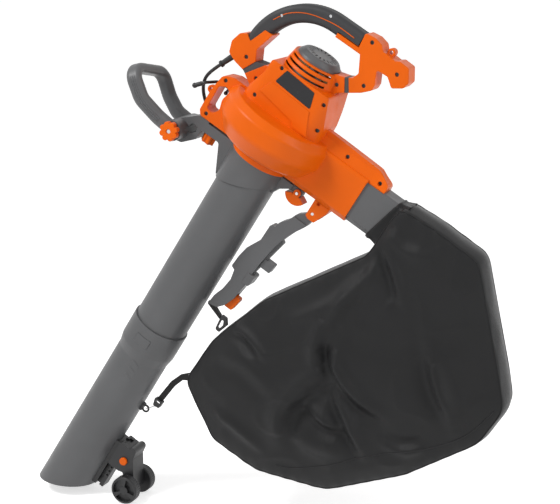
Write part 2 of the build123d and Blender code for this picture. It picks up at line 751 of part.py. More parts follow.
def brace_bracket():
    body = plate(BRACKET, 17)
    body -= block(120, 190, -BRACE_HALF - GAP, BRACE_HALF + GAP, 90, 128)
    body -= pin(BRACE_X, BRACE_Z, BRACE_PIN_R, -30, 30)
    body -= pin(152, 137, 3.5, -30, -12)
    return body


def brace_pin():
    return pin(BRACE_X, BRACE_Z, BRACE_PIN_R, -17.5, 17.5)


def brace_arm():
    body = plate(BRACE_ARM, BRACE_HALF)
    body += plate(BRACE_ARM, BRACE_HALF + 3) & block(0, 200, -30, 30, -300, 84)
    body += pin(BRACE_X, BRACE_Z, 9, -BRACE_HALF, BRACE_HALF)
    body += plate([(138, 102), (145, 118), (161, 114), (158, 98)], BRACE_HALF)
    body += plate([(112, -75), (133, 22, 4), (124, 26), (116, 0)], 6)
    body += plate([(118, -28), (142, -28, 3), (140, -49, 3), (116, -49)], 8)
    body += plate([(104, -72, 3), (121, -72, 4), (119, -97, 4), (104, -97, 3)], 15)
    body -= block(96, 140, -CATCH_HALF - GAP, CATCH_HALF + GAP, -168, -126)
    return body - pin(BRACE_X, BRACE_Z, BRACE_PIN_R, -30, 30)


def brace_latch():
    """Sliding catch at the lower end of the brace."""
    return plate([(96, -166, 2), (114, -166, 5), (120, -134, 5), (104, -134, 2)], CATCH_HALF)


# ---------------------------------------------------------------- discharge duct and bag

def discharge_duct():
    body = beam(outlet_section(0), DUCT_START, DUCT_END)
    return body - beam(outlet_section(-DUCT_WALL), DUCT_START - 1, DUCT_END + 1)


BAG = [
    (289, 128), (289, 248, 12), (372, 254), (478, 252, 20), (640, 84, 30), (684, 34, 40),
    (682, -56, 60), (600, -210), (486, -350, 90), (340, -416, 90), (226, -421, 20),
    (108, -350, 5), (112, -236), (124, -196, 12), (160, -88),
]


def bag_collar():
    ring = beam([(-33, 136, 8), (33, 136, 8), (33, 245, 8), (-33, 245, 8)], *COLLAR_X)
    return ring - beam(outlet_section(GAP), COLLAR_X[0] - 1, COLLAR_X[1] + 1)


def bag_body():
    full = outline(BAG)
    body = extrude(Plane.XZ.offset(-40) * full, amount=80)
    for inset, half in ((-22, 62), (-48, 80)):
        body += extrude(Plane.XZ.offset(-half) * offset(full, amount=inset), amount=2 * half)
    half = DUCT_HALF + GAP
    return body - block(200, DUCT_END + 4, -half, half, DUCT_Z[0] - GAP, DUCT_Z[1] + GAP)


def upper_strap():
    band = plate([(68, -176), (80, -182), (100, -191), (102, -199), (64, -187), (62, -181)], 4)
    return band - brace_arm()


def upper_hook():
    """Snap hook between the strap and the bag's upper corner."""
    frame = plate([(101, -188, 3), (114, -188, 5), (125, -204), (116, -224, 5), (105, -224, 5)], 3)
    hole = plate([(106, -200), (111, -196, 2), (115, -206), (112, -218, 1.5), (107.5, -218, 1.5)], 10)
    return frame - hole - upper_strap() - bag_body()


def lower_strap():
    band = plate([(112, -338), (118, -356), (104, -366), (96, -390), (91, -436), (78, -436),
                  (84, -385), (94, -358)], 1.4)
    return band - bag_body()


def strap_clip():
    body = plate([(73, -437, 3), (94, -436.2, 3), (93, -454, 4), (78, -456, 4)], 5)
    return body - plate([(78, -441, 1), (89, -441, 1), (88, -449, 1), (80, -449, 1)], 20)


def wire_hook():
    points = [(84, 0, -455), (79, 0, -462), (72, 0, -472), (68, 0, -476)]
    path = Polyline(*points)
    section = Plane(origin=path @ 0, z_dir=path % 0) * Circle(1.3)
    return sweep(section, path=path, transition=Transition.ROUND)


# ---------------------------------------------------------------- mains lead

RELIEF_START = (-150.0, 0.0, 286.0)
RELIEF_END = (-169.0, 0.0, 246.0)
RELIEF_R = 7.5


def strain_relief_hole():
    plane = Plane(origin=RELIEF_START, z_dir=RELIEF_AXIS)
    return plane * Cylinder(RELIEF_R, 20, align=(Align.CENTER, Align.CENTER, Align.MIN))


def strain_relief():
    plane = Plane(origin=RELIEF_START, z_dir=RELIEF_AXIS)
    length = (Vector(*RELIEF_END) - Vector(*RELIEF_START)).length
    body = plane * Cylinder(RELIEF_R, 8, align=(Align.CENTER, Align.CENTER, Align.MIN))
    cone = Pos(0, 0, 8) * Cone(6.5, 5.2, length - 8, align=(Align.CENTER, Align.CENTER, Align.MIN))
    ring = Pos(0, 0, length - 5) * Cylinder(7, 4, align=(Align.CENTER, Align.CENTER, Align.MIN))
    body += plane * cone
    body += plane * ring
    return body


RELIEF_AXIS = (Vector(*RELIEF_END) - Vector(*RELIEF_START)).normalized()
CORD_ROUTE = [
    RELIEF_END, tuple(Vector(*RELIEF_END) + 26 * RELIEF_AXIS),
    (-187, 11, 197), (-181, 22, 172), (-165, 32, 150),
    (-140, 42, 128), (-112, 60, 98), (-88, 76, 58), (-66, 86, 18),
]


def cord_radii():
    """Bend radius at each inner point, from the runs on both sides and the turn."""
    radii = []
    for i in range(1, len(CORD_ROUTE) - 1):
        before = Vector(*CORD_ROUTE[i]) - Vector(*CORD_ROUTE[i - 1])
        after = Vector(*CORD_ROUTE[i + 1]) - Vector(*CORD_ROUTE[i])
        turn = radians(before.get_angle(after))
        radii.append(0.45 * min(before.length, after.length) / tan(turn / 2))
    return radii


def mains_cord():
    radii = cord_radii()
    print("cord bend radii", [round(r, 1) for r in radii])
    path = FilletPolyline(*CORD_ROUTE, radius=radii)
    section = Plane(origin=path @ 0, z_dir=path % 0) * Circle(CORD_D / 2)
    body = sweep(section, path=path)
    print("cord length", round(path.length, 1), "volume", round(body.volume / (pi * CORD_D ** 2 / 4), 1))
    return body


def mains_plug():
    end = Vector(*CORD_ROUTE[-1])
    axis = end - Vector(*CORD_ROUTE[-2])
    plane = Plane(origin=end, z_dir=axis)
    body = plane * Cone(5.5, 9, 16, align=(Align.CENTER, Align.CENTER, Align.MIN))
    body += plane * Pos(0, 0, 16) * Cylinder(18, 26, align=(Align.CENTER, Align.CENTER, Align.MIN))
    for side in (-1, 1):
        body += plane * Pos(side * 9.5, 0, 42) * Cylinder(
            2.4, 18, align=(Align.CENTER, Align.CENTER, Align.MIN))
    return body


HOOK_R = 3.2


def shoulder_hook():
    """Hook of the shoulder strap, hung round the far side of the side loop's bar."""
    behind = LEG_HALF + HOOK_R + 0.2
    start, neck = Vector(-186, 0, 188), Vector(-178, 0, 197)
    tip = Vector(-130, 0, 204)
    path = FilletPolyline(start, neck, (-163, behind, 206), (-135, behind, 209), tip,
                          radius=[8, 9, 8])
    wire = sweep(Plane(origin=start, z_dir=neck - start) * Circle(HOOK_R), path=path)
    back = (start - neck).normalized()
    barrel = Plane(origin=start - 4 * back, z_dir=back) * Cylinder(
        4.6, 14, align=(Align.CENTER, Align.CENTER, Align.MIN))
    knob = Pos(start + 12 * back) * Sphere(5.5)
    return wire + Pos(tip) * Sphere(HOOK_R + 1) + barrel + knob


def screw(x, z, face):
    """Cross-head screw sunk in the near side; face is the casing's half width there."""
    seat = -face + SCREW_SINK
    head = pin(x, z, SCREW_HEAD_R, seat - 3, seat)
    head -= block(x - 0.6, x + 0.6, seat - 4, seat - 1.5, z - 2.4, z + 2.4)
    head -= block(x - 2.4, x + 2.4, seat - 4, seat - 1.5, z - 0.6, z + 0.6)
    return head + pin(x, z, SCREW_R, seat, -face + SCREW_LONG)


def casing_screws():
    return [screw(x, z, y) for x, z, y in casing_screw_places()]


def handle_screws():
    return [screw(x, z, y) for x, z, y in handle_screw_places()]


def grip_screws():
    return [pin(x, z, GRIP_SCREW_R, -GRIP_HALF + 1.6, -GRIP_HALF + 3) for x, z in GRIP_SCREWS]


# ---------------------------------------------------------------- placing and writing

GRIP_MID = (ARCH_X, ARCH_Z + ARCH_R)
TO_ROW = Rot(0, LEAN, 0) * Pos(-GRIP_MID[0], 0, -GRIP_MID[1])


def write(name, shape):
    pieces = shape if isinstance(shape, list) else [shape]
    solids = [TO_ROW * solid for piece in pieces for solid in solids_of(piece)]
    result = solids[0] if len(solids) == 1 else Compound(children=solids)
    result.label = name
    export_step(result, f"parts/{name}.step")
    print(name, len(solids), round(sum(s.volume for s in solids) / 1000, 1))


shell = casing()
handle = handle_shell()
grips = grip()

write("housing_near", near_half(shell))
write("housing_far", far_half(shell))
write("motor_cap", motor_cap())
write("label_plate", label_plate())
write("speed_dial", speed_dial())
write("dial_pin", dial_pin())
write("upper_bearing", bearing(TOP_BEARING_Z))
write("lower_bearing", bearing(LOW_BEARING_Z))
write("stator", stator())
write("armature", armature())
write("brush_set", brush_holders())
write("impeller", impeller())
write("impeller_nut", impeller_nut())
write("handle_near", near_half(handle))
write("handle_far", far_half(handle))
write("grip_near", near_half(grips))
write("grip_far", far_half(grips))
write("front_damper", damper([(-119, 271), (-104, 299), (-84, 304), (-111, 267)]))
write("rear_damper", damper([(71, 381), (87, 357), (79, 352), (64, 377)]))
write("intake_frame", intake_frame())
write("latch_hook", latch_hook())
write("latch_pin", latch_pin())
write("front_handle", aux_loop())
write("front_handle_bolt", aux_bolt())
write("front_handle_knob", aux_knob())
write("clamp_knob", clamp_knob())
write("clamp_bolt", clamp_bolt())
write("upper_tube", upper_tube())
write("lower_tube", lower_tube())
write("tube_button", tube_button())
write("strap_eye", strap_eye())
write("wheel_rail", wheel_rail())
write("wheel_carriage", wheel_carriage())
write("height_button", height_button())
write("wheel_axle", wheel_axle())
write("wheel_near", wheel(-1))
write("wheel_far", wheel(1))
write("brace_bracket", brace_bracket())
write("brace_pin", brace_pin())
write("brace_arm", brace_arm())
write("brace_latch", brace_latch())
write("discharge_duct", discharge_duct())
write("bag_collar", bag_collar())
write("bag", bag_body())
write("upper_strap", upper_strap())
write("upper_hook", upper_hook())
write("lower_strap", lower_strap())
write("strap_clip", strap_clip())
write("wire_hook", wire_hook())
write("strain_relief", strain_relief())
write("mains_cord", mains_cord())
write("mains_plug", mains_plug())
write("shoulder_hook", shoulder_hook())
write("casing_screws", casing_screws())
write("handle_screws", handle_screws())
write("grip_screws", grip_screws())
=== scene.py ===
import json
import math

import bmesh
import bpy
from mathutils import Matrix, Vector, noise
from mathutils.bvhtree import BVHTree

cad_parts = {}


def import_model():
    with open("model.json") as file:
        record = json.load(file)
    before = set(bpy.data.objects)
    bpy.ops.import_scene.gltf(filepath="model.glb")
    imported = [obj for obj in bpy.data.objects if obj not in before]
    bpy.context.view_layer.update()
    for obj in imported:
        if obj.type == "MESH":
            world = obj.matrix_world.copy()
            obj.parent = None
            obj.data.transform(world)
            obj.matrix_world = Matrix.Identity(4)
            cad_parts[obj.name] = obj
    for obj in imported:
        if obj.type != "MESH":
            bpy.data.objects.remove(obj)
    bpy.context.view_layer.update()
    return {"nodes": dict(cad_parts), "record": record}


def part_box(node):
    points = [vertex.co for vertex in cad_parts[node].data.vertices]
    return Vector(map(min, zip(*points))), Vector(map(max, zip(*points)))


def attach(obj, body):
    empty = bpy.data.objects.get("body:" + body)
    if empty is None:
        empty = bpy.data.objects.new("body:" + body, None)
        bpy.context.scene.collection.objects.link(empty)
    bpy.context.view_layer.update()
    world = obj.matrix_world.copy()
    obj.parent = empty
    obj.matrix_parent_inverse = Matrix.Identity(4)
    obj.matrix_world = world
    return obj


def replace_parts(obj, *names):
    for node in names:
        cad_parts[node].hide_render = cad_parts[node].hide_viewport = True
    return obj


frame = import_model()
node = frame["nodes"]

# The tool has its own upright frame, in mm: Z up its suction tube, X along its
# discharge duct. The part's frame is that one leaned over, with the grip at 0, 0, 0.
LEAN = math.radians(32.5)
GRIP_X, GRIP_Z = -6.0, 450.0


def tool(x, y, z):
    """A point of the tool's own frame, in mm, as a point of the part's frame, in metres."""
    forward, up = x - GRIP_X, z - GRIP_Z
    return Vector((forward * math.cos(LEAN) + up * math.sin(LEAN), y,
                   up * math.cos(LEAN) - forward * math.sin(LEAN))) / 1000


MIDDLE = tool(134, 0, 0)            # what the camera and the lights are turned to
FAR_CLIP = 50                       # metres, past the floor's farthest corner

# ---------------------------------------------------------------- camera


def look_from(turn, rise, roll, distance, lens):
    """Camera turned to MIDDLE, from turn degrees to the right and rise degrees up, rolled about Y."""
    a, b = math.radians(turn), math.radians(rise)
    offset = Vector((math.sin(a) * math.cos(b), -math.cos(a) * math.cos(b), math.sin(b)))
    data = bpy.data.cameras.new("camera")
    data.lens = lens
    data.clip_end = FAR_CLIP
    camera = bpy.data.objects.new("camera", data)
    bpy.context.scene.collection.objects.link(camera)
    facing = (-offset).to_track_quat("-Z", "Y").to_matrix().to_4x4()
    aim = Matrix.Translation(offset * distance) @ facing
    camera.matrix_world = Matrix.Translation(MIDDLE) @ Matrix.Rotation(math.radians(roll), 4, "Y") @ aim
    bpy.context.scene.camera = camera


look_from(turn=22, rise=13, roll=0.5, distance=3.0, lens=96.43)

# ---------------------------------------------------------------- mains lead

CORD_D = 7.0
CORD_ROUTE = [
    (-169, 0, 246), (-180.2, 0, 222.5), (-187, 11, 197), (-181, 22, 172), (-165, 32, 150),
    (-140, 42, 128), (-112, 60, 98), (-88, 76, 58), (-66, 86, 18),
]


def mains_cord():
    """Smooth round line along the lead's route."""
    curve = bpy.data.curves.new("mains_lead", "CURVE")
    curve.dimensions = "3D"
    curve.bevel_depth = 1.0             # times each point's radius
    curve.bevel_resolution = 5
    spline = curve.splines.new("NURBS")
    spline.points.add(len(CORD_ROUTE) - 1)
    for point, place in zip(spline.points, CORD_ROUTE):
        point.co = (*tool(*place), 1)
        point.radius = CORD_D / 2000
    spline.order_u = 3
    spline.use_endpoint_u = True
    spline.resolution_u = 12
    obj = bpy.data.objects.new("mains_lead", curve)
    bpy.context.scene.collection.objects.link(obj)
    return obj


cord = mains_cord()
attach(cord, "tool")
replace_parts(cord, "mains_cord")

# ---------------------------------------------------------------- materials

NOISE_RANGE = (0.3, 0.7)            # where most of a noise texture's values lie
CLOUD_SCALE = 9.0                   # noise on plastic: uneven colour, uneven gloss and grain
GLOSS_SCALE = 35.0
GRAIN_SCALE = 1400.0
GLOSS_SPREAD = 0.06                 # how far the roughness of plastic wavers
GRAIN_HIGH = 0.0002                 # metres
BRUSH_SCALE = 300.0                 # brush lines on metal, and how they are drawn out
BRUSH_STRETCH = (1, 12, 1)
CLOTH_CLOUD_SCALE = 6.0
THREAD_HIGH = 0.0004                # metres
SHARP = 0.80                        # cosine between true and rounded normal at which the painted edge highlight is at its full
WAVE_TURN = 20                      # radians that a wave texture of scale 1 runs in one unit


def new_material(name):
    """Material with nodes, its tree and its main shader."""
    material = bpy.data.materials.new(name)
    material.use_nodes = True
    tree = material.node_tree
    return material, tree, tree.nodes["Principled BSDF"]


def add(tree, kind, **values):
    """New node with its settings and the values of its inputs, where _ stands for a space."""
    made = tree.nodes.new(kind)
    for key, value in values.items():
        if hasattr(made, key):
            setattr(made, key, value)
        else:
            made.inputs[key.replace("_", " ")].default_value = value
    return made


def object_place(tree):
    """Place on the piece itself, so that a finish moves with it."""
    return add(tree, "ShaderNodeTexCoord").outputs["Object"]


def noise_of(tree, place, scale, detail=3.0):
    """Cloudy value at a place, with about scale waves per metre."""
    made = add(tree, "ShaderNodeTexNoise", Scale=scale, Detail=detail)
    tree.links.new(place, made.inputs["Vector"])
    return made.outputs["Fac"]


def spread(tree, value, low, high, from_low=0.0, from_high=1.0):
    """Maps a value on to the range low to high."""
    made = add(tree, "ShaderNodeMapRange", From_Min=from_low, From_Max=from_high)
    made.inputs["To Min"].default_value = low
    made.inputs["To Max"].default_value = high
    tree.links.new(value, made.inputs["Value"])
    return made.outputs["Result"]


def mixed(tree, factor, first, second):
    """Colour between two colours, by a factor."""
    made = add(tree, "ShaderNodeMix", data_type="RGBA")
    tree.links.new(factor, made.inputs["Factor"])
    for value, socket in ((first, made.inputs["A"]), (second, made.inputs["B"])):
        if hasattr(value, "is_output"):
            tree.links.new(value, socket)
        else:
            socket.default_value = (*value, 1)
    return made.outputs["Result"]


def shade(color, factor):
    """Colour made lighter or darker by a factor."""
    return tuple(min(1.0, channel * factor) for channel in color)


def rounded_normal(tree, radius):
    """Normal that turns at a sharp edge as if the edge had this radius."""
    return add(tree, "ShaderNodeBevel", samples=4, Radius=radius).outputs["Normal"]


def edge_mask(tree, radius):
    """1 on the sharp edges of a piece and 0 on its faces."""
    rounded = rounded_normal(tree, radius)
    flat = add(tree, "ShaderNodeNewGeometry").outputs["Normal"]
    dot = add(tree, "ShaderNodeVectorMath", operation="DOT_PRODUCT")
    tree.links.new(rounded, dot.inputs[0])
    tree.links.new(flat, dot.inputs[1])
    return spread(tree, dot.outputs["Value"], 1.0, 0.0, SHARP, 1.0)


def bumped(tree, height, strength, distance, normal=None):
    """Normal of a surface that a height moves by up to distance metres."""
    made = add(tree, "ShaderNodeBump", Strength=strength, Distance=distance)
    tree.links.new(height, made.inputs["Height"])
    if normal:
        tree.links.new(normal, made.inputs["Normal"])
    return made.outputs["Normal"]


def moulded(name, color, roughness, grain, edge, radius=0.0012, specular=0.4):
    """Injection moulded plastic: fine grain, uneven gloss, and a painted highlight that lightens its
    sharp edges.
    """
    material, tree, bsdf = new_material(name)
    place = object_place(tree)
    cloudy = spread(tree, noise_of(tree, place, CLOUD_SCALE), 0, 1, *NOISE_RANGE)
    base = mixed(tree, cloudy, shade(color, 0.93), shade(color, 1.06))
    # painted highlight: every sharp edge is made lighter by the edge factor, as if light caught it
    edge_highlit = mixed(tree, edge_mask(tree, radius), base, shade(color, edge))
    tree.links.new(edge_highlit, bsdf.inputs["Base Color"])
    gloss = noise_of(tree, place, GLOSS_SCALE, detail=5.0)
    rough = spread(tree, gloss, roughness - GLOSS_SPREAD, roughness + GLOSS_SPREAD, *NOISE_RANGE)
    tree.links.new(rough, bsdf.inputs["Roughness"])
    fine = noise_of(tree, place, GRAIN_SCALE, detail=2.0)
    surface = bumped(tree, fine, grain, GRAIN_HIGH, rounded_normal(tree, radius))
    tree.links.new(surface, bsdf.inputs["Normal"])
    bsdf.inputs["Specular IOR Level"].default_value = specular
    return material


def metal(name, color, roughness):
    """Bare metal with fine brush lines."""
    material, tree, bsdf = new_material(name)
    brushed = add(tree, "ShaderNodeMapping")
    brushed.inputs["Scale"].default_value = BRUSH_STRETCH
    tree.links.new(object_place(tree), brushed.inputs["Vector"])
    lines = noise_of(tree, brushed.outputs["Vector"], BRUSH_SCALE, detail=4.0)
    tree.links.new(mixed(tree, lines, shade(color, 0.85), shade(color, 1.1)), bsdf.inputs["Base Color"])
    tree.links.new(spread(tree, lines, roughness - 0.08, roughness + 0.1), bsdf.inputs["Roughness"])
    surface = bumped(tree, lines, strength=0.1, distance=0.0001, normal=rounded_normal(tree, 0.0004))
    tree.links.new(surface, bsdf.inputs["Normal"])
    bsdf.inputs["Metallic"].default_value = 1.0
    return material


def woven(name, color, thread, sheen, strength, roughness, specular):
    """Cloth whose warp and weft are two crossed waves, thread metres apart."""
    material, tree, bsdf = new_material(name)
    place = object_place(tree)
    cloudy = spread(tree, noise_of(tree, place, CLOTH_CLOUD_SCALE, detail=4.0), 0, 1, *NOISE_RANGE)
    base = mixed(tree, cloudy, shade(color, 0.85), shade(color, 1.18))
    crossed = add(tree, "ShaderNodeMath", operation="MULTIPLY")
    for direction, socket in zip(("X", "Z"), crossed.inputs):
        scale = 2 * math.pi / (WAVE_TURN * thread)
        wave = add(tree, "ShaderNodeTexWave", Scale=scale, Distortion=0.6, Detail=1.0)
        wave.bands_direction = direction
        tree.links.new(place, wave.inputs["Vector"])
        tree.links.new(wave.outputs["Fac"], socket)
    threads = crossed.outputs["Value"]
    lit = spread(tree, threads, 0.0, 0.45)
    tree.links.new(mixed(tree, lit, base, shade(color, 1.35)), bsdf.inputs["Base Color"])
    tree.links.new(bumped(tree, threads, strength, THREAD_HIGH), bsdf.inputs["Normal"])
    bsdf.inputs["Roughness"].default_value = roughness
    bsdf.inputs["Specular IOR Level"].default_value = specular
    bsdf.inputs["Sheen Weight"].default_value = sheen
    bsdf.inputs["Sheen Roughness"].default_value = 0.5
    return material


# edge: how much lighter the painted edge highlight makes the sharp edges of each plastic
PLASTICS = {
    "orange_plastic": dict(color=(0.76, 0.118, 0.002), roughness=0.36, grain=0.12, edge=1.10,
                           radius=0.0025, specular=0.17),
    "grey_plastic": dict(color=(0.092, 0.093, 0.096), roughness=0.40, grain=0.22, edge=1.4),
    "black_plastic": dict(color=(0.014, 0.014, 0.015), roughness=0.36, grain=0.2, edge=2.0),
    "dark_plate": dict(color=(0.012, 0.012, 0.014), roughness=0.22, grain=0.05, edge=1.4),
    "soft_grip": dict(color=(0.026, 0.026, 0.028), roughness=0.62, grain=0.6, edge=1.5),
    "damper_rubber": dict(color=(0.055, 0.056, 0.058), roughness=0.66, grain=0.4, edge=1.3),
    "tyre": dict(color=(0.014, 0.014, 0.015), roughness=0.40, grain=0.3, edge=2.0),
    "cord_rubber": dict(color=(0.012, 0.012, 0.012), roughness=0.5, grain=0.3, edge=1.5),
}
METALS = {
    "steel": dict(color=(0.60, 0.60, 0.61), roughness=0.32),
    "dark_steel": dict(color=(0.07, 0.07, 0.07), roughness=0.40),
    "laminations": dict(color=(0.30, 0.27, 0.25), roughness=0.5),
    "brass": dict(color=(0.70, 0.48, 0.20), roughness=0.35),
}
CLOTHS = {
    "bag_fabric": dict(color=(0.015, 0.015, 0.0155), thread=0.0006, sheen=0.02, strength=0.30,
                       roughness=0.36, specular=0.14),
    "webbing": dict(color=(0.012, 0.012, 0.012), thread=0.0012, sheen=0.1, strength=0.8,
                    roughness=0.62, specular=0.3),
}
materials = {}
for maker, looks in ((moulded, PLASTICS), (metal, METALS), (woven, CLOTHS)):
    for name, look in looks.items():
        materials[name] = maker(name, **look)


def paint(obj, slot):
    """Gives a piece one finish."""
    obj.data.materials.clear()
    obj.data.materials.append(materials[slot])


for part in frame["record"]["subparts"]:
    paint(node[part["node"]], part["material_slot"])
paint(cord, "cord_rubber")

# ---------------------------------------------------------------- collection bag

BAG_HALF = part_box("bag")[1].y * 1000    # half the bag's thickness in CAD, mm
BAG_EDGE = BAG_HALF / 2             # half the width of the gusset between the panels
BAG_MIDDLE = (390.0, -90.0)         # a point well inside the bag's outline, X and Z
RAY_ASIDE = BAG_HALF * 0.42         # how far beside the duct's middle the outline is taken
AROUND, RINGS = 360, 64             # mesh points round the outline, and from it to the middle
OUTLINE_BLUR = 2                    # points on either side that the outline is averaged over
RING_POWER = 1.15                   # above 1, the rings lie closer together near the edge
SEAM_AT = 0.965                     # edge of the panels, as a share of the way to the CAD outline
GUSSET_BULGE = 0.02                 # how much farther out the middle of the gusset lies
GUSSET_STEPS = 10
GUSSET_WAVE = 0.004                 # how far the gusset wavers, as a share of the outline
GUSSET_WAVE_STEPS = 9               # length of those waves in steps round the outline
GUSSET_WAVE_WIDE = 30               # and across the gusset, mm


def tree_of(obj):
    """Faces of a piece, ready for rays."""
    corners = [vertex.co for vertex in obj.data.vertices]
    return BVHTree.FromPolygons(corners, [list(face.vertices) for face in obj.data.polygons])


def bag_outline():
    """How far the CAD bag reaches from BAG_MIDDLE, in mm, at each step round it."""
    surface = tree_of(node["bag"])
    start = tool(BAG_MIDDLE[0], RAY_ASIDE, BAG_MIDDLE[1])
    found = []
    for i in range(AROUND):
        angle = 2 * math.pi * i / AROUND
        way = tool(math.cos(angle), 0, math.sin(angle)) - tool(0, 0, 0)
        found.append(surface.ray_cast(start, way.normalized())[3] * 1000)
    window = range(-OUTLINE_BLUR, OUTLINE_BLUR + 1)
    return [sum(found[(i + k) % AROUND] for k in window) / len(window) for i in range(AROUND)]


# Folds of the near panel: points in X, Z, height and half width in mm. Every height is
# taken FOLD_DEEP times. A ridge rises along its line. A flank rises on the left of its
# line and dips on the right, and the other way round where its height is negative.
FOLD_DEEP = 2.3
FOLD_REACH = 3                      # half widths from its line at which a fold is over
FOLD_FADE = 0.6                     # below 1, a fold keeps its height nearer to its ends
FLANK_GAIN = 1.6                    # how steeply a flank goes from its rise to its dip
FOLDS = [
    ("ridge", [(318, 119), (314, 64), (304, 8), (308, -34), (330, -78)], 5.5, 13),
    ("flank", [(330, -78), (345, -96), (385, -119), (443, -132), (500, -128)], 6.5, 17),
    ("flank", [(300, -30), (318, -84), (342, -112)], -7.0, 18),
    ("flank", [(361, -126), (344, -180), (336, -250), (360, -292)], -8.5, 26),
    ("flank", [(372, -138), (448, -187), (500, -220)], 6.5, 17),
    ("ridge", [(365, -269), (418, -262), (462, -232)], 4.0, 20),
    ("flank", [(350, -210), (404, -214), (452, -200)], 4.5, 15),
    ("ridge", [(516, 33), (560, -4), (622, -58)], 4.5, 16),
    ("flank", [(470, 60), (540, -10), (600, -40)], 4.0, 20),
    ("flank", [(306, 154), (350, 124), (396, 86)], 5.0, 14),
    ("ridge", [(300, 190), (340, 176), (392, 190)], 3.0, 12),
    ("ridge", [(237, -83), (285, 1), (304, 84)], 3.0, 14),
    ("flank", [(125, -182), (179, -175), (228, -184)], 4.0, 13),
    ("flank", [(150, -250), (210, -230), (280, -236)], 2.5, 22),
    ("ridge", [(196, -352), (250, -346), (330, -352)], 3.5, 12),
    ("flank", [(506, 210), (560, 150), (632, 90)], 3.5, 16),
    ("flank", [(590, -120), (560, -150), (520, -160)], 4.0, 14),
]
SEAM = [(372, -362), (406, -341), (461, -282), (501, -228),
        (543, -180), (606, -116), (646, -50), (660, 20)]
STRETCH_STEPS = 14                  # places per stretch of a smooth line


def along(points):
    """Smooth line through points, as places on it."""
    ends = [points[0], *points, points[-1]]
    places = []
    for i in range(len(points) - 1):
        p0, p1, p2, p3 = (Vector(p) for p in ends[i:i + 4])
        square = 2 * p0 - 5 * p1 + 4 * p2 - p3
        cube = 3 * p1 - p0 - 3 * p2 + p3
        for k in range(STRETCH_STEPS):
            t = k / STRETCH_STEPS
            places.append(0.5 * (2 * p1 + (p2 - p0) * t + square * t * t + cube * t ** 3))
    places.append(Vector(points[-1]))
    return places


class Fold:
    """A soft line on the cloth that lifts or creases what lies near it."""

    def __init__(self, kind, points, height, width):
        self.kind, self.height, self.width = kind, height, width
        self.places = along(points)
        self.low = [min(p[i] for p in self.places) - FOLD_REACH * width for i in (0, 1)]
        self.high = [max(p[i] for p in self.places) + FOLD_REACH * width for i in (0, 1)]

    def lift(self, x, z):
        """How far the fold moves the cloth outwards at x, z, in mm."""
        if not (self.low[0] < x < self.high[0] and self.low[1] < z < self.high[1]):
            return 0.0
        here = Vector((x, z))
        k = min(range(len(self.places) - 1), key=lambda i: (self.places[i] - here).length_squared)
        run = (self.places[k + 1] - self.places[k]).normalized()
        offset = here - self.places[k]
        side = run.x * offset.y - run.y * offset.x
        past = offset.length_squared - side * side
        fade = math.sin(math.pi * (k + 0.5) / len(self.places)) ** FOLD_FADE
        bell = math.exp(-(side / self.width) ** 2 - max(0.0, past) / self.width ** 2)
        if self.kind == "flank":
            bell *= FLANK_GAIN * side / self.width
        return FOLD_DEEP * self.height * fade * bell


def smoothstep(value, low, high):
    """0 up to low, 1 from high on, with a smooth rise between."""
    t = min(1.0, max(0.0, (value - low) / (high - low)))
    return t * t * (3 - 2 * t)


# Slack cloth wavers in three layers: each one's wave lengths in X and Z, and its height, in mm.
WIDE_WAVES, WIDE_HIGH = (150, 150), 5.0
SMALL_WAVES, SMALL_HIGH = (46, 60), 1.6
RIDGE_WAVES, RIDGE_HIGH = (80, 95), 2.2


def waves(x, z, lengths, layer):
    """Noise of given wave lengths, different in every layer."""
    return noise.noise(Vector((x / lengths[0], z / lengths[1], layer)))


def crumple(x, z, side):
    """Uneven surface of slack cloth, a few mm high."""
    wide = waves(x, z, WIDE_WAVES, 3.1 * side)
    small = waves(x, z, SMALL_WAVES, 7.7 * side + 2)
    ridged = 1 - abs(waves(x, z, RIDGE_WAVES, 5.3 * side + 9)) * 2
    return WIDE_HIGH * wide + SMALL_HIGH * small + RIDGE_HIGH * ridged ** 3


FULL_HIGH, FULL_LOW = 0.70, 0.92    # thickness at the bag's top and bottom, as a share of BAG_HALF
FULL_FROM, FULL_TO = -60, 420       # how far down the one starts and ends to become the other, mm
SWELL_FLAT, SWELL_POWER = 2.4, 0.7  # a higher first keeps the panel fuller towards its edge
EDGE_SHARE = 0.96                   # height of a panel's edge, as a share of BAG_EDGE
SLACK_RISE = 7                      # how fast folds and crumpling grow from the edge inwards
PUCKER_HIGH, PUCKER_FADE = 0.9, 26  # small ripples beside the seam: height in mm, and their end
PUCKER_X, PUCKER_Z = 6.1, 7.3


def bag_height(x, z, ring, side, folds):
    """How far a panel stands out from the bag's middle plane; ring is 1 at its edge."""
    drop = x * math.sin(LEAN) - z * math.cos(LEAN)
    fullness = FULL_HIGH + (FULL_LOW - FULL_HIGH) * smoothstep(drop, FULL_FROM, FULL_TO)
    swell = (1 - ring ** SWELL_FLAT) ** SWELL_POWER
    height = BAG_EDGE * EDGE_SHARE + (BAG_HALF * fullness - BAG_EDGE) * swell
    slack = min(1.0, (1 - ring) * SLACK_RISE)
    height += slack * crumple(x, z, side)
    if side < 0:
        height += slack * sum(fold.lift(x, z) for fold in folds)
    pucker = math.sin(x / PUCKER_X + z / PUCKER_Z) * math.exp(-(1 - ring) * PUCKER_FADE)
    return height + PUCKER_HIGH * pucker


def from_middle(i, far):
    """Point of the tool's X, Z that is far mm from BAG_MIDDLE, at step i round it."""
    angle = 2 * math.pi * i / AROUND
    return BAG_MIDDLE[0] + far * math.cos(angle), BAG_MIDDLE[1] + far * math.sin(angle)


